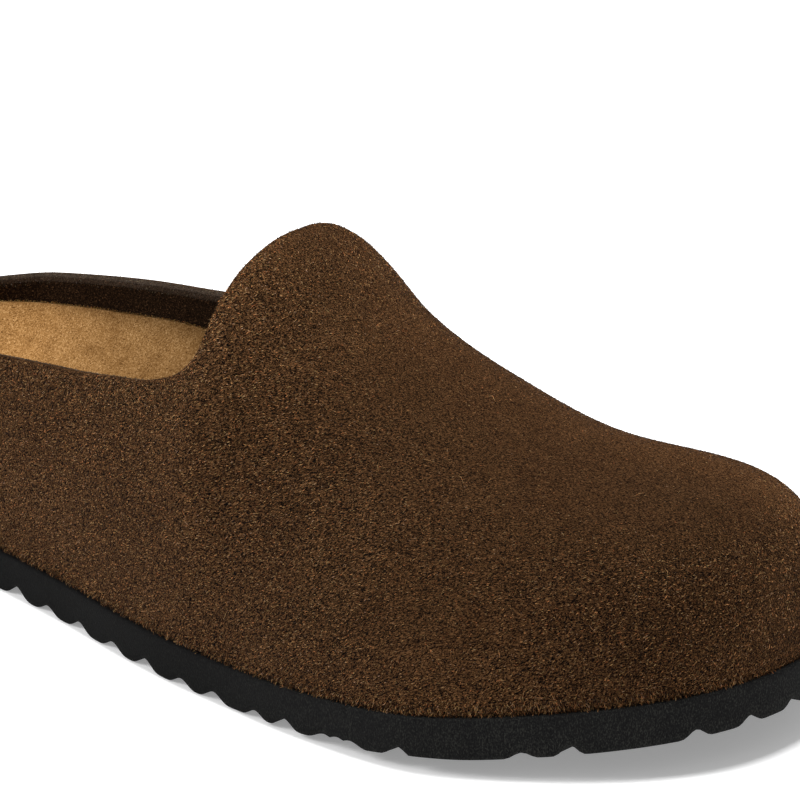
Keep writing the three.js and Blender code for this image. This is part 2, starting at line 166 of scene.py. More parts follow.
def outline(share, inset=0.0):
    half = lerp(HEEL_WIDTH, BALL_WIDTH, follow(SECTIONS, "spread", share)) / 2
    heel = round_off(share, HEEL_ROUND / LENGTH, 2)
    toe = round_off(1 - share, TOE_ROUND / LENGTH, TOE_FULLNESS)
    x = inset + share * (LENGTH - 2 * inset)
    return x, TOE_SWING * follow(SECTIONS, "swing", share), (half - inset) * heel * toe


def spring(x):
    return TOE_SPRING * np.maximum(0, 1 - (LENGTH - x) / SPRING_LENGTH) ** SPRING_CURVE


def seat(x):
    return SOLE_THICK + spring(x) + GAP


def section(share):
    x, middle, half = outline(share, FLANGE)
    foot = seat(x)
    ridge = lerp(TOE_HEIGHT, INSTEP_HEIGHT, follow(SECTIONS, "rise", share))
    crown = round_off(1 - share, NOSE_ROUND / LENGTH, NOSE_FULLNESS)
    return {
        "x": x,
        "middle": middle,
        "half": half,
        "foot": foot,
        "height": (ridge - foot) * crown,
        "lean": RIDGE_LEAN * follow(SECTIONS, "lean", share) * crown,
        "side": follow(SECTIONS, "side", share),
        "crown": follow(SECTIONS, "crown", share),
        "tuck": HEEL_TUCK * np.maximum(0, 1 - x / HEEL_ROUND) ** 2,
    }


# Points of the upper's outer face. The angle is 0 at the sole and a right angle on the ridge.
def last_points(share, angle, side):
    arc = section(share)
    out = np.clip(np.cos(angle), 0, 1) ** (2 / arc["side"])
    up = np.sin(angle) ** (2 / arc["crown"])
    z = arc["foot"] + arc["height"] * up
    x = arc["x"] + arc["tuck"] * ((z - arc["foot"]) / (HEEL_COLLAR - SOLE_THICK)) ** 2
    y = arc["middle"] + side * arc["half"] * out + arc["lean"] * np.sin(angle) ** 2
    return np.stack([x, y, z], -1)


def angle_at(share, height):
    arc = section(share)
    up = np.clip((height - arc["foot"]) / np.maximum(arc["height"], 1e-6), 0, 1)
    return np.arcsin(up ** (arc["crown"] / 2))


# Lines down the wall from heel to toe, with so many in each stretch. The last stretches are
# closed over the foot, the first ones end on the edge.
def wall_lines(heel_steps, side_steps, throat_steps, vamp_steps, toe_steps):
    heel = HEEL_ROUND / LENGTH
    toe = 1 - TOE_ROUND / LENGTH
    throat_foot = EDGE["at"][-1]
    heel_foot = heel * (1 - np.cos(np.arange(heel_steps) / heel_steps * math.pi / 2))
    side_foot = lerp(heel, TURN_START, np.arange(side_steps) / side_steps)
    turn_foot = lerp(TURN_START, throat_foot, np.arange(throat_steps) / throat_steps)
    open_foot = np.concatenate([heel_foot, side_foot, turn_foot])
    open_top = follow(EDGE, "along", open_foot) * THROAT / LENGTH
    collar = lerp(HEEL_COLLAR, SIDE_COLLAR, follow(EDGE, "climb", open_foot))
    turn = follow(EDGE, "turn", open_foot)
    open_angle = lerp(angle_at(open_top, collar), math.pi / 2, turn)
    vamp_foot = lerp(throat_foot, toe, np.arange(vamp_steps) / vamp_steps)
    swing = np.sin(np.arange(toe_steps + 1) / toe_steps * math.pi / 2) ** (2 / TOE_FULLNESS)
    closed_foot = np.concatenate([vamp_foot, lerp(toe, 1, swing)])
    closed_top = lerp(THROAT / LENGTH, 1, (closed_foot - throat_foot) / (1 - throat_foot))
    return {
        "foot": np.concatenate([open_foot, closed_foot]),
        "top": np.concatenate([open_top, closed_top]),
        "angle": np.concatenate([open_angle, np.full(len(closed_foot), math.pi / 2)]),
        "open": np.arange(len(open_foot) + len(closed_foot)) < len(open_foot),
    }


# The frame's own box gives the place of the heel's tip
SHARES = np.linspace(0, 1, 2001)
_, MIDDLES, HALVES = outline(SHARES)
ORIGIN = np.array([LENGTH / 2, ((MIDDLES - HALVES).min() + (MIDDLES + HALVES).max()) / 2, 0])


# Joins points that lie at one place and gives each old point its new number
def weld(points, apart=1e-3):
    keys = np.round(points / apart).astype(np.int64)
    _, first, number = np.unique(keys, axis=0, return_index=True, return_inverse=True)
    return points[first], number.reshape(-1)


# The four corners of each cell of a grid of point numbers
def cells(grid, turned=False):
    corners = [grid[:-1, :-1], grid[1:, :-1], grid[1:, 1:], grid[:-1, 1:]]
    quads = np.stack(corners, -1).reshape(-1, 4)
    return quads[:, ::-1] if turned else quads


# Drops the corners that a cell repeats, and the cells with nothing left
def tidy_faces(quads):
    faces = []
    for quad in quads.tolist():
        face = [corner for i, corner in enumerate(quad) if corner != quad[i - 1]]
        if len(set(face)) > 2:
            faces.append(face)
    return faces


def make_piece(name, points, faces, materials, slots=None, smooth=True):
    mesh = bpy.data.meshes.new(name)
    mesh.from_pydata(((points - ORIGIN) * MM).tolist(), [], faces)
    for material in materials:
        mesh.materials.append(material)
    if slots is not None:
        mesh.polygons.foreach_set("material_index", np.asarray(slots, np.int32))
    mesh.polygons.foreach_set("use_smooth", np.full(len(mesh.polygons), smooth))
    mesh.validate()
    mesh.update()
    piece = bpy.data.objects.new(name, mesh)
    bpy.context.scene.collection.objects.link(piece)
    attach(piece, "root")
    return piece


# Gives each point of a piece a number that its material reads by name
def note_on(piece, name, values):
    layer = piece.data.attributes.new(name, "FLOAT", "POINT")
    layer.data.foreach_set("value", np.asarray(values, np.float32))


def unit(vectors):
    return vectors / np.maximum(np.linalg.norm(vectors, axis=-1, keepdims=True), 1e-9)


# Normals of a sheet of quads at its points
def point_normals(points, quads):
    across = points[quads[:, 2]] - points[quads[:, 0]]
    along = points[quads[:, 3]] - points[quads[:, 1]]
    face = np.cross(across, along)
    normals = np.zeros_like(points)
    for corner in range(4):
        np.add.at(normals, quads[:, corner], face)
    return unit(normals)


# The sheet of the last between the sole and the ends of the lines
def wall_sheet(lines, rows):
    up = np.arange(rows + 1) / rows
    share = lerp(lines["foot"][:, None], lines["top"][:, None], up)
    sheets = []
    for side in SIDES:
        angle = lines["angle"] if side == LATERAL else lines.get("inner_angle", lines["angle"])
        sheets.append(last_points(share, angle[:, None] * up, side))
    points = np.concatenate([sheet.reshape(-1, 3) for sheet in sheets])
    points, number = weld(points)
    grids = dict(zip(SIDES, number.reshape(2, len(share), rows + 1)))
    quads = np.concatenate([cells(grids[side], side == MEDIAL) for side in SIDES])
    return points, grids, quads


# The sheet's points moved inwards, with the lowest row kept on the sole
def inward(points, grids, quads, depth):
    normals = point_normals(points, quads)
    lowest = np.unique(np.concatenate([grids[side][:, 0] for side in SIDES]))
    normals[lowest, 2] = 0
    normals[lowest] = unit(normals[lowest])
    moved = points - depth * normals
    moved[lowest, 2] = seat(moved[lowest, 0])
    return moved, normals


# Colours are given as sRGB hex
def linear(code):
    channels = [int(code[i : i + 2], 16) / 255 for i in (1, 3, 5)]
    return [c / 12.92 if c <= 0.04045 else ((c + 0.055) / 1.055) ** 2.4 for c in channels] + [1]


# Adds a node with its settings. An input is a value or another node's output.
def add(tree, kind, inputs=None, stops=None, **settings):
    made = tree.nodes.new(kind)
    for name, value in settings.items():
        setattr(made, name, value)
    for name, value in (inputs or {}).items():
        if isinstance(value, bpy.types.NodeSocket):
            tree.links.new(value, made.inputs[name])
        else:
            made.inputs[name].default_value = value
    if stops:
        elements = made.color_ramp.elements
        while len(elements) < len(stops):
            elements.new(0.5)
        for element, (place, colour) in zip(elements, stops):
            element.position = place
            element.color = linear(colour)
    return made


def new_material(name):
    material = bpy.data.materials.new(name)
    material.use_nodes = True
    tree = material.node_tree
    tree.nodes.clear()
    # Places on the shoe in millimetres, so that every pattern keeps its real size
    place = add(tree, "ShaderNodeTexCoord").outputs["Object"]
    scaled = add(tree, "ShaderNodeVectorMath", {0: place, "Scale": 1 / MM}, operation="SCALE")
    return material, tree, scaled.outputs[0]


# Turns of the three lays, in radians: all run roughly forwards and up, the way the upper is brushed
BRUSHED_TURNS = ((0, -0.47, 0.29), (0.5, -0.2, 0.5), (-0.5, -0.9, 0.2))


# Suede: split leather buffed with fine grit until its fibres stand up as a nap. The eye sees
# matt colour with a dark gap beside each lit fibre, and paler or darker patches where a hand
# has brushed the nap. Fibres are 0.2 to 0.3 mm wide and about 1 mm long.
def buffed_suede(name, shades, patch_shades, fibre_wide, fibre_long, relief):
    material, tree, place = new_material(name)
    layers = []
    for turn in BRUSHED_TURNS:
        laid = add(
            tree,
            "ShaderNodeMapping",
            {"Vector": place, "Rotation": turn, "Scale": (fibre_long, fibre_wide, fibre_wide)},
            vector_type="TEXTURE",
        )
        grain = add(
            tree,
            "ShaderNodeTexNoise",
            {"Vector": laid.outputs[0], "Scale": 1.0, "Detail": 2.0, "Roughness": 0.6, "Distortion": 0.6},
        )
        layers.append(grain.outputs["Fac"])
    # Tufts of about 1.5 mm lie one way or another
    pick = add(tree, "ShaderNodeTexNoise", {"Vector": place, "Scale": 0.7, "Detail": 1.0})
    first = add(tree, "ShaderNodeMapRange", {"Value": pick.outputs["Fac"], "From Min": 0.44, "From Max": 0.5})
    second = add(tree, "ShaderNodeMapRange", {"Value": pick.outputs["Fac"], "From Min": 0.53, "From Max": 0.59})
    pair = add(tree, "ShaderNodeMix", {0: first.outputs[0], 2: layers[0], 3: layers[1]}, data_type="FLOAT")
    nap = add(tree, "ShaderNodeMix", {0: second.outputs[0], 2: pair.outputs[0], 3: layers[2]}, data_type="FLOAT")
    # Where the nap lies flat its gaps close, so light and dark come nearer
    depth = add(tree, "ShaderNodeAttribute", attribute_name="contrast")
    evened = add(tree, "ShaderNodeMix", {0: depth.outputs["Fac"], 2: 0.505, 3: nap.outputs[0]}, data_type="FLOAT")
    colour = add(tree, "ShaderNodeValToRGB", {"Fac": evened.outputs[0]}, stops=shades)
    # Brushed patches of some centimetres, with a finer mottle of some millimetres in them
    broad = add(tree, "ShaderNodeTexNoise", {"Vector": place, "Scale": 1 / 34, "Detail": 2.0, "Roughness": 0.55})
    mottle = add(tree, "ShaderNodeTexNoise", {"Vector": place, "Scale": 1 / 5, "Detail": 3.0, "Roughness": 0.6})
    both = add(tree, "ShaderNodeMix", {0: 0.45, 2: broad.outputs["Fac"], 3: mottle.outputs["Fac"]}, data_type="FLOAT")
    patches = add(tree, "ShaderNodeValToRGB", {"Fac": both.outputs[0]}, stops=patch_shades)
    toned = add(
        tree,
        "ShaderNodeMix",
        {0: 1.0, 6: colour.outputs[0], 7: patches.outputs[0]},
        data_type="RGBA",
        blend_type="MULTIPLY",
    )
    # The tone scales the colour: brushed patches with painted light and shade on the upper, painted shade and light
    # on the footbed
    brushed_and_lit = add(tree, "ShaderNodeAttribute", attribute_name="tone")
    finished = add(
        tree,
        "ShaderNodeVectorMath",
        {0: toned.outputs[2], "Scale": brushed_and_lit.outputs["Fac"]},
        operation="SCALE",
    )
    raised = add(
        tree,
        "ShaderNodeBump",
        {"Height": nap.outputs[0], "Strength": relief, "Distance": fibre_wide * MM},
    )
    shader = add(
        tree,
        "ShaderNodeBsdfPrincipled",
        {
            "Base Color": finished.outputs[0],
            "Roughness": 0.95,
            "IOR": 1.45,
            "Specular IOR Level": 0.05,
            "Normal": raised.outputs[0],
        },
    )
    add(tree, "ShaderNodeOutputMaterial", {"Surface": shader.outputs[0]})
    return material


# The same suede's loose ends: single collagen fibres, dyed through, some pale where the grit has
# scuffed them. The eye sees lit hairs of many browns over the dark gaps of the nap.
def loose_fibres(name, shades):
    material, tree, place = new_material(name)
    # Each fibre carries its own shade
    shade = add(tree, "ShaderNodeAttribute", attribute_name="shade")
    colour = add(tree, "ShaderNodeValToRGB", {"Fac": shade.outputs["Fac"]}, stops=shades)
    # The dye takes unevenly: rust, olive and greyed fibres lie side by side
    dye = add(tree, "ShaderNodeTexNoise", {"Vector": place, "Scale": 1 / 0.5, "Detail": 1.0, "Roughness": 0.7})
    cast = add(tree, "ShaderNodeValToRGB", {"Fac": dye.outputs["Fac"]}, stops=DYE_CASTS)
    toned = add(
        tree,
        "ShaderNodeMix",
        {0: 1.0, 6: colour.outputs[0], 7: cast.outputs[0]},
        data_type="RGBA",
        blend_type="MULTIPLY",
    )
    # The tone scales the colour: brushed patches with painted light and shade, or the footbed's painted shade and
    # light
    brushed_and_lit = add(tree, "ShaderNodeAttribute", attribute_name="tone")
    finished = add(
        tree,
        "ShaderNodeVectorMath",
        {0: toned.outputs[2], "Scale": brushed_and_lit.outputs["Fac"]},
        operation="SCALE",
    )
    shader = add(
        tree,
        "ShaderNodeBsdfPrincipled",
        {"Base Color": finished.outputs[0], "Roughness": 0.8, "IOR": 1.45, "Specular IOR Level": 0.1},
    )
    add(tree, "ShaderNodeOutputMaterial", {"Surface": shader.outputs[0]})
    return material


# Foam: ethylene vinyl acetate moulded in one piece. The eye sees a flat charcoal black with a
# very fine grain from the mould, drawn here at 0.5 mm because finer would not show.
def moulded_foam():
    material, tree, place = new_material("moulded_black_eva_foam")
    drawn = add(tree, "ShaderNodeMapping", {"Vector": place, "Scale": (0.28, 0.28, 0.56)}, vector_type="TEXTURE")
    grain = add(tree, "ShaderNodeTexNoise", {"Vector": drawn.outputs[0], "Scale": 1.0, "Detail": 3.0, "Roughness": 0.65})
    cloud = add(tree, "ShaderNodeTexNoise", {"Vector": place, "Scale": 1 / 9, "Detail": 2.0})
    both = add(tree, "ShaderNodeMix", {0: 0.12, 2: grain.outputs["Fac"], 3: cloud.outputs["Fac"]}, data_type="FLOAT")
    colour = add(
        tree,
        "ShaderNodeValToRGB",
        {"Fac": both.outputs[0]},
        stops=((0.35, "#040404"), (0.5, "#080808"), (0.65, "#171715")),
    )
    rough = add(tree, "ShaderNodeMapRange", {"Value": cloud.outputs["Fac"], "To Min": 0.7, "To Max": 0.85})
    raised = add(
        tree,
        "ShaderNodeBump",
        {"Height": grain.outputs["Fac"], "Strength": 0.6, "Distance": 0.25 * MM},
    )
    # Painted light and shade: the foam is painted darker towards the heel and paler towards the toe
    painted_foam_light = add(tree, "ShaderNodeAttribute", attribute_name="tone")
    finished = add(
        tree,
        "ShaderNodeVectorMath",
        {0: colour.outputs[0], "Scale": painted_foam_light.outputs["Fac"]},
        operation="SCALE",
    )
    shader = add(
        tree,
        "ShaderNodeBsdfPrincipled",
        {
            "Base Color": finished.outputs[0],
            "Roughness": rough.outputs[0],
            "IOR": 1.5,
            "Specular IOR Level": 0.06,
            "Normal": raised.outputs[0],
        },
    )
    add(tree, "ShaderNodeOutputMaterial", {"Surface": shader.outputs[0]})
    return material


UPPER_SHADES = ((0.38, "#020000"), (0.46, "#1c1006"), (0.53, "#4a321d"), (0.66, "#6e4f34"))
UPPER_PATCHES = ((0.3, "#cfc9c1"), (0.5, "#e8e5e1"), (0.7, "#ffffff"))
DYE_CASTS = ((0.36, "#ffcdae"), (0.45, "#ffecca"), (0.55, "#dcf0d0"), (0.64, "#e9e8ff"))
FIBRE_SHADES = ((0.0, "#020000"), (0.3, "#180d04"), (0.6, "#553a23"), (1.0, "#a68160"))
LINING_SHADES = ((0.32, "#0d0804"), (0.5, "#22170e"), (0.6, "#3e2d1e"), (0.7, "#70553c"))
EDGE_SHADES = ((0.3, "#1f1813"), (0.5, "#3a3028"), (0.7, "#584b41"))
EDGE_FUZZ_SHADES = ((0.0, "#1c1611"), (0.6, "#41372f"), (1.0, "#7d7066"))
TAN_SHADES = ((0.3, "#5f3e1e"), (0.5, "#9c7444"), (0.7, "#cca472"))
TAN_FUZZ_SHADES = ((0.0, "#6a4826"), (0.6, "#a67d4b"), (1.0, "#cfa874"))
TAN_PATCHES = ((0.34, "#c4bbac"), (0.5, "#e8e4de"), (0.64, "#ffffff"))
upper_suede = buffed_suede("buffed_dark_brown_suede", UPPER_SHADES, UPPER_PATCHES, 0.27, 0.8, 0.9)
lining_suede = buffed_suede("brushed_black_brown_lining", LINING_SHADES, UPPER_PATCHES, 0.3, 0.7, 0.5)
cut_edge = buffed_suede("raw_cut_suede_edge", EDGE_SHADES, UPPER_PATCHES, 0.25, 0.5, 0.8)
footbed_suede = buffed_suede("buffed_tan_suede", TAN_SHADES, TAN_PATCHES, 0.35, 0.5, 0.35)
brown_fibres = loose_fibres("dark_brown_suede_fibres", FIBRE_SHADES)
grey_fibres = loose_fibres("raw_edge_suede_fibres", EDGE_FUZZ_SHADES)
tan_fibres = loose_fibres("tan_suede_fibres", TAN_FUZZ_SHADES)
foam = moulded_foam()


# Patches where the nap is paler or darker, partly brushed and partly painted light and shade:
# place, reach and change. The two sides are painted alike, so the second number is the distance
# from the middle of the shoe.
BRUSHED_AND_PAINTED_LIGHT = (
    ((157, 14, 88), 22, 0.45),
    ((106, 36, 36), 34, 0.07),
    ((190, 0, 72), 24, 0.22),
    ((192, 20, 64), 20, -0.18),
    ((254, 4, 53), 13, -0.1),
    ((182, 46, 32), 22, -0.12),
    ((277, 8, 22), 12, 0.08),
    ((215, 34, 46), 30, -0.08),
    ((235, 46, 22), 14, 0.14),
    ((258, 34, 34), 26, -0.1),
    ((278, 3, 31), 12, 0.12),
)

# Patches of painted light and shade on one side only, the outer one where the second number is
# negative. The inner side of the crest over the toes carries a painted sheen from end to end.
ONE_SIDED_PAINTED_LIGHT = (
    ((166, -14, 81), 15, -0.12),
    ((181, 15, 76), 11, 0.3),
    ((192, 18, 67), 12, 0.38),
    ((207, 19, 61), 13, 0.36),
    ((222, 19, 58), 13, 0.37),
    ((238, 19, 55), 13, 0.42),
    ((254, 20, 51), 13, 0.48),
    ((268, 21, 44), 12, 0.85),
)

# Patches where a hand has pressed the nap flat
PRESSED = (((228, 44, 34), 20, -0.6),)


def patchy(points, patches, both_sides=True):
    x, y, z = points.T
    aside = y - TOE_SWING * follow(SECTIONS, "swing", x / LENGTH)
    if both_sides:
        aside = np.abs(aside)
    total = np.ones(len(points))
    for (along, off, high), reach, change in patches:
        far = (x - along) ** 2 + (aside - off) ** 2 + (z - high) ** 2
        total += change * np.exp(-far / reach**2)
    return total


# Brushed patches and painted light and shade, as one factor on the upper's colour
def brushed_and_painted_tone(points):
    return patchy(points, BRUSHED_AND_PAINTED_LIGHT) * patchy(points, ONE_SIDED_PAINTED_LIGHT, False)


# 1 where the nap stands up, falling to 0 where it lies flat, on the faces that look upwards
def standing(points, normals):
    return np.clip((0.96 - normals[:, 2]) / 0.32, 0, 1) * patchy(points, PRESSED)


# The upper: outer face, rounded cut edge, lining and the strip on the sole in one closed mesh
UPPER_STEPS = (26, 44, 64, 40, 44)
UPPER_ROWS = 56
EDGE_RADIUS = 0.6
NAP_DEPTH = 0.2
RIM_LIFT = 0.4
EDGE_STEPS = 4
RAW_ROWS = 2
INNER_EDGE_TONE = 1.6
FLAT_CONTRAST = 0.58
LATERAL_DROP = 0.7


# The lateral edge lies a little lower than the medial one between the heel and the throat
def lateral_angles(lines):
    arc = section(lines["top"])
    drop = LATERAL_DROP * np.clip(arc["x"] / 40, 0, 1) * np.clip((136 - arc["x"]) / 26, 0, 1)
    height = arc["foot"] + arc["height"] * np.sin(lines["angle"]) ** (2 / arc["crown"])
    return np.where(lines["open"], angle_at(lines["top"], height - drop), lines["angle"])


def make_upper():
    lines = wall_lines(*UPPER_STEPS)
    lines["inner_angle"] = lines["angle"]
    lines["angle"] = lateral_angles(lines)
    sheet, grids, quads = wall_sheet(lines, UPPER_ROWS)
    inner, _ = inward(sheet, grids, quads, WALL)
    # The skin lies a nap's depth inside the outline, which the fibres fill
    outer, _ = inward(sheet, grids, quads, NAP_DEPTH)
    count = len(outer)
    points = [outer, inner]
    # The lining's topmost rows are raw edge
    top_row = np.zeros(count, bool)
    top_row[np.concatenate([grids[side][:, -RAW_ROWS:].ravel() for side in SIDES])] = True
    open_lines = int(lines["open"].sum())
    in_open = np.zeros(count, bool)
    in_open[np.concatenate([grids[side][: open_lines + 1].ravel() for side in SIDES])] = True
    raw = top_row[quads].any(1) & in_open[quads].all(1)
    parts = [(quads, 0), (quads[~raw][:, ::-1] + count, 2), (quads[raw][:, ::-1] + count, 1)]
    total = 2 * count
    opened = open_lines + 1
    edges = []
    for side in SIDES:
        grid = grids[side]
        base = np.stack([grid[:, 0] + count, grid[:, 0]], 1)
        parts.append((cells(base, side == MEDIAL), 2))
        edge = grid[:opened, -1]
        below = grid[:opened, -2]
        rise = RIM_LIFT * (1 - follow(EDGE, "turn", lines["foot"][:opened])) if side == MEDIAL else np.zeros(opened)
        lift = rise[:, None] * unit(outer[edge] - outer[below])
        outer[edge] += lift
        inner[edge] += lift
        edges.append((outer[edge].copy(), inner[edge].copy(), outer[below].copy()))
        up = unit(outer[edge] - outer[below])
        out = unit(outer[edge] - inner[edge])
        inner_up = unit(inner[edge] - inner[below])
        thick = np.linalg.norm(outer[edge] - inner[edge], axis=1)[:, None]
        turns = np.arange(1, EDGE_STEPS + 1) / (EDGE_STEPS + 1) * math.pi / 2
        rows = []
        # The edge's own row sinks to where the rounding starts
        for turn in turns:
            rows.append(outer[edge] - EDGE_RADIUS * ((1 - np.cos(turn)) * out + (1 - np.sin(turn)) * up))
        rows.append(outer[edge] - EDGE_RADIUS * out)
        for share in (0.35, 0.65):
            rows.append(outer[edge] - thick * share * out)
        rows.append(inner[edge] + EDGE_RADIUS * out)
        for turn in turns[::-1]:
            rows.append(inner[edge] + EDGE_RADIUS * ((1 - np.cos(turn)) * out - (1 - np.sin(turn)) * inner_up))
        numbers = [edge]
        for row in rows:
            numbers.append(np.arange(total, total + len(row)))
            points.append(row)
            total += len(row)
        numbers.append(edge + count)
        strip = np.stack(numbers, 1)
        brown = EDGE_STEPS + 3
        parts.append((cells(strip[:, :brown], side == MEDIAL), 0))
        parts.append((cells(strip[:, brown - 1 :], side == MEDIAL), 1))
        outer[edge] -= EDGE_RADIUS * up
        inner[edge] -= EDGE_RADIUS * inner_up
    points[:2] = [outer, inner]
    everything, number = weld(np.concatenate(points))
    faces = []
    slots = []
    for part, slot in parts:
        kept = tidy_faces(number[part])
        faces += kept
        slots += [slot] * len(kept)
    piece = make_piece(
        "upper_suede", everything, faces, [upper_suede, cut_edge, lining_suede], slots
    )
    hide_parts("upper")
    normals = np.empty(3 * len(everything))
    piece.data.vertices.foreach_get("normal", normals)
    tone = np.ones(total)
    # The outer face's tone carries the brushed patches and the painted light and shade
    tone[:count] = brushed_and_painted_tone(outer)
    tone[count : 2 * count] = np.where(top_row & in_open, INNER_EDGE_TONE, 1)
    welded = np.ones(len(everything))
    welded[number] = tone
    note_on(piece, "tone", welded)
    note_on(piece, "contrast", lerp(FLAT_CONTRAST, 1, standing(everything, normals.reshape(-1, 3))))
    return outer, grids, quads, opened, edges


# The footbed: a wall that follows the lining, a hollowed top with a soft edge, a flat underside
FOOTBED_ROWS = 6
FOOTBED_ACROSS = 48
FOOTBED_EDGE = 0.5
BORDER_LIFT = 0.7


# Painted shade: the tan suede is darkened towards the toe, where the vamp shades it, with painted
# light under the heel and along the far border, where the lining's wall shades it
def footbed_painted_shade(points):
    x, y, _ = points.T
    painted_heel_light = 0.12 * np.exp(-((x - 34) ** 2 + (y - 16) ** 2) / 14**2)
    # Painted light along the far border, against the shade of the lining's wall
    border = 0.08 * np.exp(-((x - 88) ** 2 + (y - 31) ** 2) / 9**2)
    return np.clip(1 - 0.0078 * (x - 37), 0.6, 1.04) + painted_heel_light + border


def make_footbed():
    lines = wall_lines(26, 44, 40, 30, 36)
    foot = lines["foot"]
    lines["top"] = foot
    arc = section(foot)
    lines["angle"] = angle_at(foot, arc["foot"] + ARCH_HEIGHT * follow(FOOTBED, "outer", foot))
    inner_height = ARCH_HEIGHT * follow(FOOTBED, "inner", foot) + BORDER_LIFT
    lines["inner_angle"] = angle_at(foot, arc["foot"] + inner_height)
    sheet, grids, quads = wall_sheet(lines, FOOTBED_ROWS)
    inner, _ = inward(sheet, grids, quads, WALL + GAP)
    left = inner[grids[LATERAL][:, -1]]
    right = inner[grids[MEDIAL][:, -1]]
    hollow = 1 - np.maximum(0, 1 - left[:, 0] / HEEL_ROUND) ** 2
    middle = seat(left[:, 0]) + ARCH_HEIGHT * follow(FOOTBED, "middle", foot)
    v = np.sin(np.linspace(-1, 1, FOOTBED_ACROSS + 1) * math.pi / 2)
    top = lerp(left[:, None], right[:, None], ((v + 1) / 2)[None, :, None])
    edge = np.where(v[None] < 0, left[:, 2, None], right[:, 2, None])
    top[..., 2] = edge - (edge - middle[:, None]) * hollow[:, None] * (1 - np.abs(v) ** CUP_CURVE)
    half = np.maximum(np.linalg.norm(right - left, axis=1) / 2, 1e-3)
    near = np.clip(1 - (1 - np.abs(v)) * half[:, None] / FOOTBED_EDGE, 0, 1)
    softened = FOOTBED_EDGE * (1 - np.sqrt(1 - near**2))
    top[..., 2] -= softened
    for side, column in ((LATERAL, 0), (MEDIAL, -1)):
        rows = grids[side]
        share = np.arange(FOOTBED_ROWS + 1) / FOOTBED_ROWS
        drop = softened[:, column, None] * share
        inner[rows, 2] -= np.where(share > 0, drop, 0)
    points = np.concatenate([inner, top.reshape(-1, 3)])
    numbers = len(inner) + np.arange(top.shape[0] * top.shape[1]).reshape(top.shape[:2])
    under = np.stack([grids[LATERAL][:, 0], grids[MEDIAL][:, 0]], 1)
    quads = np.concatenate([quads, cells(numbers), cells(under, True)])
    points, number = weld(points, 5e-3)
    piece = make_piece(
        "footbed_suede", points, tidy_faces(number[quads]), [footbed_suede], None
    )
    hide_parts("insole")
    # The footbed's tone is its painted shade and light
    note_on(piece, "tone", footbed_painted_shade(points))
    note_on(piece, "contrast", np.ones(len(points)))
    return [(top[:, column], top[:, column + step]) for column, step in ((0, 1), (-1, -1))]


# Share of a groove's depth at a distance from its middle line: rounded above and at its lips
def bell(distance, half_width):
    reach = np.clip(np.abs(distance) / half_width, 0, 1)
    return np.cos(reach * math.pi / 2) ** 3


# Height of the grooved underside over the plain one. The share aside is 1 at either side.
def tread(x, y, aside):
    sway = GROOVE_SWAY * np.sin(2 * math.pi * y / GROOVE_WAVE) * (1 - aside**4)
    height = np.zeros_like(x)
    for place, half_width, depth in CROSS_GROOVES:
        height = np.maximum(height, depth * bell(x - place - sway, half_width))
    for i in range(TIP_GROOVE_COUNT):
        angle = math.radians((i - (TIP_GROOVE_COUNT - 1) / 2) * TIP_GROOVE_ANGLE)
        from_x = x - (LENGTH - TIP_GROOVE_CENTRE)
        from_y = y - TOE_SWING
        far = from_x * math.cos(angle) + from_y * math.sin(angle)
        off = from_y * math.cos(angle) - from_x * math.sin(angle)
        start = TIP_GROOVE_CENTRE - TIP_GROOVE_LENGTH
        deep = np.clip((far - start) / (0.7 * TIP_GROOVE_LENGTH), 0, 1)
        height = np.maximum(height, TIP_GROOVE_DEPTH * deep**1.5 * bell(off, TIP_GROOVE_HALF))
    return height


SOLE_ACROSS = 56
SOLE_SIDE_ROWS = 6
SOLE_CURVE = 4


def make_outsole():
    shares = wall_lines(60, 110, 100, 90, 90)["foot"]
    turns = np.arange(SOLE_CURVE + 1) / SOLE_CURVE * math.pi / 2
    rim = [(SOLE_EDGE * (1 - math.sin(t)), SOLE_EDGE * (1 - math.cos(t))) for t in turns]
    v = np.linspace(-1, 1, SOLE_ACROSS + 1)
    x, middle, half = outline(shares, SOLE_EDGE)
    below_x = np.repeat(x[:, None], len(v), 1)
    below_y = middle[:, None] + half[:, None] * v
    below = np.stack([below_x, below_y, spring(below_x) + tread(below_x, below_y, np.abs(v)[None])], -1)
    points = [below.reshape(-1, 3)]
    total = below.shape[0] * below.shape[1]
    numbers = np.arange(total).reshape(below.shape[:2])
    parts = [cells(numbers, True)]
    tops = {}
    for side, column in ((LATERAL, 0), (MEDIAL, -1)):
        low = below[:, column, 2]
        rows = []
        for inset, up in rim[1:]:
            ex, em, eh = outline(shares, inset)
            rows.append(np.stack([ex, em + side * eh, low + up], -1))
        ex, em, eh = outline(shares)
        high = spring(ex) + SOLE_THICK
        for step in range(1, SOLE_SIDE_ROWS + 1):
            z = lerp(low + SOLE_EDGE, high - SOLE_EDGE, step / SOLE_SIDE_ROWS)
            rows.append(np.stack([ex, em + side * eh, z], -1))
        for inset, down in rim[::-1][1:]:
            tx, tm, th = outline(shares, inset)
            rows.append(np.stack([tx, tm + side * th, high - down], -1))
        strip = [numbers[:, column]]
        for row in rows:
            strip.append(np.arange(total, total + len(row)))
            points.append(row)
            total += len(row)
        strip = np.stack(strip, 1)
        parts.append(cells(strip, side == MEDIAL))
        tops[side] = strip[:, -1]
    parts.append(cells(np.stack([tops[LATERAL], tops[MEDIAL]], 1)))
    points, number = weld(np.concatenate(points))
    faces = tidy_faces(number[np.concatenate(parts)])
    piece = make_piece("foam_outsole", points, faces, [foam], None)
    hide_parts("outsole")
    # Painted light and shade: darker over the heel half, much paler towards the toe
    note_on(piece, "tone", 0.85 + 2.4 * np.clip((points[:, 0] - 150) / 110, 0, 1))


# Places spread evenly over a sheet's quads, with the normal at each. Steps by parts of the
# plastic number keep one place clear of the next.
EVEN_STEPS = (0.7548777, 0.5698403)


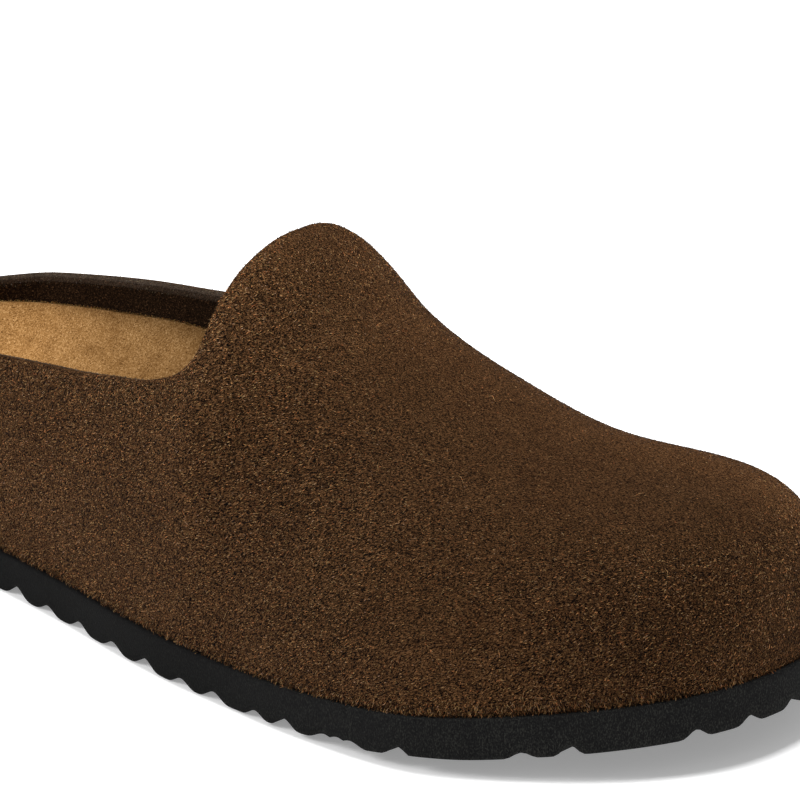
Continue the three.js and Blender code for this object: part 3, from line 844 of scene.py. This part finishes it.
def spread_over(rng, points, normals, quads, count):
    corners = points[quads]
    area = np.linalg.norm(np.cross(corners[:, 2] - corners[:, 0], corners[:, 3] - corners[:, 1]), axis=1)
    number = np.arange(count)
    quad = np.searchsorted(np.cumsum(area) / area.sum(), (number + 0.5) / count)
    chosen = quads[np.minimum(quad, len(quads) - 1)]
    steps = number[:, None] * EVEN_STEPS + rng.uniform(0, 0.3, (count, 2))
    a, b = (steps % 1).T[..., None]
    shares = ((1 - a) * (1 - b), a * (1 - b), a * b, (1 - a) * b)
    place = sum(share * points[chosen[:, i]] for i, share in enumerate(shares))
    normal = unit(sum(share * normals[chosen[:, i]] for i, share in enumerate(shares)))
    return place, normal


ROOT_DEPTH = 0.08


# Nap: each fibre is a slender leaf of two triangles that rises from the skin, then bends over.
# The sizes are the ranges of its length, width, rise and droop. The shades run from 0, dark, to 1.
def make_nap(name, rng, place, normal, lay, sizes, shades, tone, material, stand=None):
    length, width, rise, droop = sizes
    count = len(place)
    lay = unit(lay - (lay * normal).sum(1, keepdims=True) * normal)
    across = np.cross(normal, lay)
    long = rng.uniform(*length, (count, 1))
    up = rng.uniform(*rise, (count, 1))
    if stand is not None:
        up *= lerp(FLAT_RISE, 1, stand[:, None])
    bend = up - rng.uniform(*droop, (count, 1))
    curl = rng.normal(0, 0.4, (count, 1))
    roll = rng.uniform(-0.7, 0.7, (count, 1))
    root = place - ROOT_DEPTH * normal
    middle = root + long / 2 * (np.cos(up) * lay + np.sin(up) * normal)
    onward = np.cos(curl) * lay + np.sin(curl) * across
    tip = middle + long / 2 * (np.cos(bend) * onward + np.sin(bend) * normal)
    half = rng.uniform(*width, (count, 1)) / 2 * (np.cos(roll) * across + np.sin(roll) * normal)
    points = np.stack([root, middle - half, middle + half, tip], 1).reshape(-1, 3)
    first = np.arange(count)[:, None] * 4
    faces = np.stack([first + (0, 1, 2), first + (1, 3, 2)], 1).reshape(-1, 3)
    piece = make_piece(name, points, faces.tolist(), [material], None, False)
    shade = rng.uniform(*shades, count)
    if stand is not None:
        shade = FLAT_SHADE + (shade - FLAT_SHADE) * lerp(FLAT_CONTRAST, 1, stand)
    note_on(piece, "shade", np.repeat(shade, 4))
    note_on(piece, "tone", np.repeat(tone, 4))
    # A map with a square for each fibre, for baking its colours
    across_map = math.ceil(math.sqrt(count))
    square = np.stack([np.arange(count) % across_map, np.arange(count) // across_map], 1)[:, None]
    corner = np.array([(0, 0), (1, 0), (0, 1), (1, 0), (1, 1), (0, 1)])
    laid = (square + corner) / across_map
    piece.data.uv_layers.new(name="OFBake").data.foreach_set("uv", laid.astype(np.float32).ravel())
    return piece


# Brushed along one line, up towards the toe or back down, mostly one way in each patch
def brushed_lay(rng, place):
    x, y, z = place.T
    wave = np.sin(x / 19 + z / 13) + np.sin(y / 17 - x / 27 + 2)
    way = np.where(rng.random(len(place)) < 0.5 + 0.16 * wave, -1.0, 1.0)[:, None]
    return unit(rng.normal(size=place.shape)) + 2.4 * way * np.array([0.85, 0.25, 0.45])


# Places along a line of points, with the numbers of the points beside them and the share between
def spread_along(rng, line, count):
    long = np.linalg.norm(np.diff(line, axis=0), axis=1)
    i = np.sort(rng.choice(len(long), count, p=long / long.sum()))
    return i, rng.random((count, 1))


# Each nap: number of fibres, and the ranges of their length, width, rise and droop
NAP_COUNT = 95000
NAP = ((0.55, 1.25), (0.1, 0.22), (0.1, 0.5), (0.3, 1.0))
SEAM_NAP_COUNT = 9000
SEAM_NAP = ((0.9, 2.0), (0.09, 0.2), (0.5, 1.05), (0.7, 1.6))
# Painted shade: the fibres over the seam are darkened where the upper meets the sole
SEAM_PAINTED_SHADE = 0.82
RIM_NAP_COUNT = 9000
RIM_NAP = ((0.5, 1.0), (0.11, 0.22), (0.2, 0.8), (0.3, 1.0))
STRAY_COUNT = 400
STRAYS = ((2.0, 4.2), (0.07, 0.13), (0.2, 0.8), (0.4, 1.2))
EDGE_NAP_COUNT = 8000
EDGE_NAP = ((0.35, 0.8), (0.1, 0.18), (0.1, 0.9), (0.3, 1.0))
BORDER_NAP_COUNT = 4000
BORDER_NAP = ((0.3, 0.7), (0.09, 0.18), (0.1, 0.8), (0.3, 1.0))
FLAT_RISE = 0.5
FLAT_SHADE = 0.5

outer_face, outer_grids, outer_quads, opened, edges = make_upper()
borders = make_footbed()
make_outsole()
face_normals = point_normals(outer_face, outer_quads)
rng = np.random.default_rng(SEED)
half_count = len(outer_quads) // 2
for name, quads in (("lateral_nap", outer_quads[:half_count]), ("medial_nap", outer_quads[half_count:])):
    place, normal = spread_over(rng, outer_face, face_normals, quads, NAP_COUNT)
    lay = brushed_lay(rng, place)
    # Each fibre takes the painted light and shade of the patches where it grows
    tone = brushed_and_painted_tone(place)
    stand = standing(place, normal)
    make_nap(name, rng, place, normal, lay, NAP, (0, 1), tone, brown_fibres, stand)

foot_quads = np.concatenate([cells(outer_grids[side][:, :3], side == MEDIAL) for side in SIDES])
place, normal = spread_over(rng, outer_face, face_normals, foot_quads, SEAM_NAP_COUNT)
lay = unit(rng.normal(size=place.shape)) * 0.6 + np.array([0.0, 0.0, -1.0])
# The seam's fibres carry painted shade on top of the patches' painted light and shade
tone = SEAM_PAINTED_SHADE * brushed_and_painted_tone(place)
make_nap("seam_nap", rng, place, normal, lay, SEAM_NAP, (0, 1), tone, brown_fibres)

rim_quads = np.concatenate([cells(outer_grids[side][:opened, -10:], side == MEDIAL) for side in SIDES])
place, normal = spread_over(rng, outer_face, face_normals, rim_quads, RIM_NAP_COUNT)
lay = unit(rng.normal(size=place.shape)) + np.array([0.0, 0.0, 0.4])
# The rim's fibres take the same painted light and shade
tone = brushed_and_painted_tone(place)
make_nap("rim_nap", rng, place, normal, lay, RIM_NAP, (0, 1), tone, brown_fibres)

# A few long hairs that the grit has pulled loose
place, normal = spread_over(rng, outer_face, face_normals, outer_quads, STRAY_COUNT)
lay = unit(rng.normal(size=place.shape))
# The loose hairs take the same painted light and shade
tone = brushed_and_painted_tone(place)
make_nap("stray_hairs", rng, place, normal, lay, STRAYS, (0.6, 1), tone, brown_fibres)

# Short grey fuzz on the raw edge and over its inner corner
for side_name, (outer_edge, inner_edge, below_edge) in zip(("lateral", "medial"), edges):
    i, share = spread_along(rng, outer_edge, EDGE_NAP_COUNT)
    out = unit(outer_edge - inner_edge)
    up = unit(outer_edge - below_edge)
    in_by = np.minimum(rng.uniform(0.3, 1.3, (EDGE_NAP_COUNT, 1)), 1)
    here = [lerp(line[i], line[i + 1], share) for line in (outer_edge, inner_edge, out, up)]
    over = np.clip((in_by - 0.7) / 0.3, 0, 1)
    down = np.where(over > 0.5, rng.uniform(0, 2.0, (EDGE_NAP_COUNT, 1)), 0)
    place = lerp(here[0], here[1], in_by) - down * here[3]
    normal = unit((1 - over) * here[3] - over * here[2])
    lay = unit(rng.normal(size=place.shape)) - 0.5 * here[2] - over * here[3]
    name = side_name + "_edge_fuzz"
    tone = (1 + 0.1 * down)[:, 0]
    make_nap(name, rng, place, normal, lay, EDGE_NAP, (0, 1), tone, grey_fibres)

# The footbed's suede frays a little against the lining
for side_name, (border, within) in zip(("lateral", "medial"), borders):
    i, share = spread_along(rng, border, BORDER_NAP_COUNT)
    place = lerp(border[i], border[i + 1], share)
    inwards = unit(lerp(within[i], within[i + 1], share) - place)
    place = place + rng.uniform(0, 0.6, (BORDER_NAP_COUNT, 1)) * inwards
    normal = unit(inwards + np.array([0.0, 0.0, 1.0]))
    lay = unit(rng.normal(size=place.shape)) + np.array([0.0, 0.0, 0.8])
    name = side_name + "_border_fuzz"
    # The fuzz takes the footbed's painted shade and light
    tone = footbed_painted_shade(place)
    make_nap(name, rng, place, normal, lay, BORDER_NAP, (0, 1), tone, tan_fibres)


# The camera: the photograph's angle to the shoe, worked out from its outline
CAMERA_TURN = math.radians(41.95)
CAMERA_HEIGHT = math.radians(21.0)
CAMERA_ROLL = math.radians(-0.9)
CAMERA_DISTANCE = 1.2
CAMERA_TARGET = Vector((0.01315, 0.02686, 0.0454))
CAMERA_LENS = 231.8


def make_camera():
    back = Vector(
        (
            math.sin(CAMERA_TURN) * math.cos(CAMERA_HEIGHT),
            -math.cos(CAMERA_TURN) * math.cos(CAMERA_HEIGHT),
            math.sin(CAMERA_HEIGHT),
        )
    )
    level = Vector((math.cos(CAMERA_TURN), math.sin(CAMERA_TURN), 0))
    upright = back.cross(level)
    right = math.cos(CAMERA_ROLL) * level + math.sin(CAMERA_ROLL) * upright
    up = math.cos(CAMERA_ROLL) * upright - math.sin(CAMERA_ROLL) * level
    data = bpy.data.cameras.new("camera")
    data.lens = CAMERA_LENS
    data.sensor_width = 36
    data.clip_start = 0.05
    data.clip_end = 20
    camera = bpy.data.objects.new("camera", data)
    bpy.context.scene.collection.objects.link(camera)
    turn = Matrix((right, up, back)).transposed().to_4x4()
    camera.matrix_world = Matrix.Translation(CAMERA_TARGET + CAMERA_DISTANCE * back) @ turn
    bpy.context.scene.camera = camera


# A pale seamless floor. Its own faint glow is the light that a white studio throws under things.
FLOOR_SIZE = 12
FLOOR_GLOW = 0.27


def make_floor():
    material = bpy.data.materials.new("studio_paper")
    material.use_nodes = True
    tree = material.node_tree
    tree.nodes.clear()
    shader = add(
        tree,
        "ShaderNodeBsdfPrincipled",
        {
            "Base Color": linear("#f4f4f4"),
            "Roughness": 1.0,
            "Specular IOR Level": 0.0,
            "Emission Color": linear("#ffffff"),
            "Emission Strength": FLOOR_GLOW,
        },
    )
    add(tree, "ShaderNodeOutputMaterial", {"Surface": shader.outputs[0]})
    half = FLOOR_SIZE / 2
    mesh = bpy.data.meshes.new("floor")
    corners = [(-half, -half, 0), (half, -half, 0), (half, half, 0), (-half, half, 0)]
    mesh.from_pydata(corners, [], [(0, 1, 2, 3)])
    mesh.materials.append(material)
    floor = bpy.data.objects.new("floor", mesh)
    bpy.context.scene.collection.objects.link(floor)


# Soft boxes: name, power in watts, size in metres, place, and the point that each one faces
LIGHTS = (
    ("overhead_box", 25, 0.4, (0.0, 0.1, 1.5), (0.02, 0.0, 0.0)),
    ("heel_side_box", 17, 0.7, (-1.0, -0.95, 1.0), (0.0, 0.0, 0.05)),
)
WORLD_LIGHT = 0.3


def make_lights():
    for name, power, size, place, aim in LIGHTS:
        data = bpy.data.lights.new(name, "AREA")
        data.shape = "SQUARE"
        data.size = size
        data.energy = power
        light = bpy.data.objects.new(name, data)
        light.location = place
        light.rotation_euler = (Vector(aim) - Vector(place)).to_track_quat("-Z", "Y").to_euler()
        bpy.context.scene.collection.objects.link(light)
    world = bpy.data.worlds.new("studio")
    world.use_nodes = True
    world.node_tree.nodes["Background"].inputs["Color"].default_value = (1, 1, 1, 1)
    world.node_tree.nodes["Background"].inputs["Strength"].default_value = WORLD_LIGHT
    bpy.context.scene.world = world


make_camera()
make_floor()
make_lights()
bpy.context.scene.view_settings.view_transform = "Standard"
